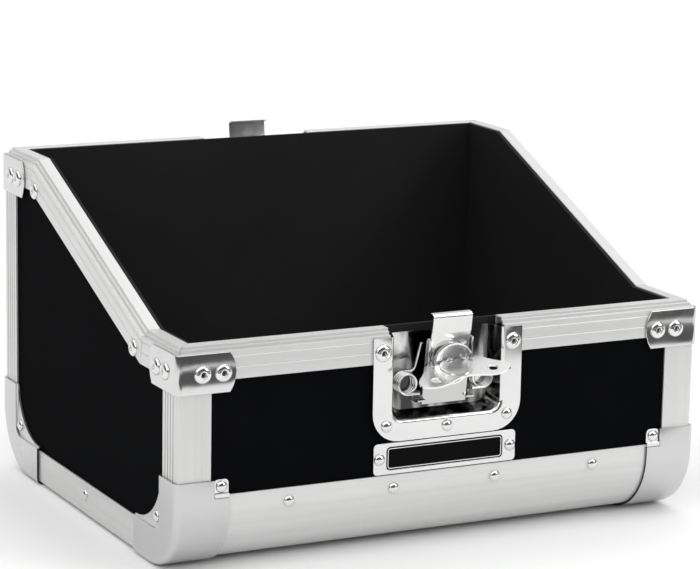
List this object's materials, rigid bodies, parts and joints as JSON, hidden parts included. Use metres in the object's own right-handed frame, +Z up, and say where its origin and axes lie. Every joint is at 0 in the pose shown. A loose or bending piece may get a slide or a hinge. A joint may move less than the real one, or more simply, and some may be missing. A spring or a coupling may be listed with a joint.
{
  "type": "record carrying case",
  "caption": "Black record carrying case base with a slanted aluminium rim, rounded bottom corners, an open top and recessed butterfly latches front and back.",
  "frame": {"origin": "on the surface the case stands on, under the middle of the case", "axes": "+X to the right seen from the front, +Y to the back, +Z up"},
  "size_m": [0.377, 0.3604, 0.2314],
  "materials": {
    "laminate": "black laminate on plywood",
    "lining": "matt black lining board",
    "aluminium": "satin anodised",
    "cover_steel": "smooth semi-gloss plate",
    "bright_steel": "bright nickel plate",
    "spring_steel": "plated spring wire"
  },
  "bodies": {
    "case": {"back_bottom_roll": "aluminium", "back_latch_dish": "bright_steel", "back_latch_hinge_pin": "bright_steel", "back_latch_spring_left": "spring_steel", "back_latch_spring_right": "spring_steel", "back_left_bracket": "bright_steel", "back_left_clip": "bright_steel", "back_left_cover": "cover_steel", "back_left_post": "aluminium", "back_left_rim": "aluminium", "back_lining": "lining", "back_panel": "laminate", "back_right_bracket": "bright_steel", "back_right_clip": "bright_steel", "back_right_cover": "cover_steel", "back_right_post": "aluminium", "back_right_rim": "aluminium", "bottom_lining": "lining", "bottom_panel": "laminate", "front_bottom_roll": "aluminium", "front_latch_dish": "bright_steel", "front_latch_hinge_pin": "bright_steel", "front_latch_spring_left": "spring_steel", "front_latch_spring_right": "spring_steel", "front_left_bracket": "bright_steel", "front_left_clip": "bright_steel", "front_left_cover": "cover_steel", "front_left_post": "aluminium", "front_left_rim": "aluminium", "front_lining": "lining", "front_panel": "laminate", "front_right_bracket": "bright_steel", "front_right_clip": "bright_steel", "front_right_cover": "cover_steel", "front_right_post": "aluminium", "front_right_rim": "aluminium", "left_back_rim": "aluminium", "left_bottom_edge": "aluminium", "left_front_rim": "aluminium", "left_lining": "lining", "left_panel": "laminate", "left_slope_rim": "aluminium", "name_plate": "bright_steel", "right_back_rim": "aluminium", "right_bottom_edge": "aluminium", "right_front_rim": "aluminium", "right_lining": "lining", "right_panel": "laminate", "right_slope_rim": "aluminium"},
    "back_carrier": {"back_latch_carrier": "bright_steel"},
    "back_hook": {"back_latch_hook": "bright_steel"},
    "back_spindle": {"back_latch_spindle": "bright_steel", "back_latch_wing_pin": "bright_steel"},
    "back_wing": {"back_latch_wing": "bright_steel"},
    "front_carrier": {"front_latch_carrier": "bright_steel"},
    "front_hook": {"front_latch_hook": "bright_steel"},
    "front_spindle": {"front_latch_spindle": "bright_steel", "front_latch_wing_pin": "bright_steel"},
    "front_wing": {"front_latch_wing": "bright_steel"}
  },
  "joints": [
    {"name": "front_latch_tilt", "type": "hinge", "parent": "case", "child": "front_carrier", "pos_m": [0, -0.1434, 0.0986], "axis": [-1, 0, 0], "range_deg": [0, 9], "stiffness_Nm_per_rad": 0.2, "springref_deg": -17.19},
    {"name": "front_latch_turn", "type": "hinge", "parent": "front_carrier", "child": "front_spindle", "pos_m": [0, -0.14685, 0.12316], "axis": [0, 0.9903, 0.1392], "range_deg": [0, 180]},
    {"name": "front_hook_slide", "type": "slide", "parent": "front_carrier", "child": "front_hook", "axis": [0, -0.1392, 0.9903], "range_m": [-0.00801, 0]},
    {"name": "front_wing_fold", "type": "hinge", "parent": "front_spindle", "child": "front_wing", "pos_m": [0.00034, -0.15529, 0.11927], "axis": [0.9921, -0.0174, 0.1241], "range_deg": [-6, 82]},
    {"name": "back_latch_tilt", "type": "hinge", "parent": "case", "child": "back_carrier", "pos_m": [0, 0.1434, 0.1756], "axis": [1, 0, 0], "range_deg": [0, 9], "stiffness_Nm_per_rad": 0.2, "springref_deg": -17.19},
    {"name": "back_latch_turn", "type": "hinge", "parent": "back_carrier", "child": "back_spindle", "pos_m": [0, 0.14685, 0.20016], "axis": [0, -0.9903, 0.1392], "range_deg": [0, 180]},
    {"name": "back_hook_slide", "type": "slide", "parent": "back_carrier", "child": "back_hook", "axis": [0, 0.1392, 0.9903], "range_m": [-0.00801, 0]},
    {"name": "back_wing_fold", "type": "hinge", "parent": "back_spindle", "child": "back_wing", "pos_m": [-0.00034, 0.15529, 0.19627], "axis": [-0.9921, 0.0174, 0.1241], "range_deg": [-6, 82]}
  ],
  "couplings": [
    {"joint": "front_hook_slide", "follows": "front_latch_turn", "m_per_rad": -0.0025465},
    {"joint": "back_hook_slide", "follows": "back_latch_turn", "m_per_rad": -0.0025465}
  ]
}
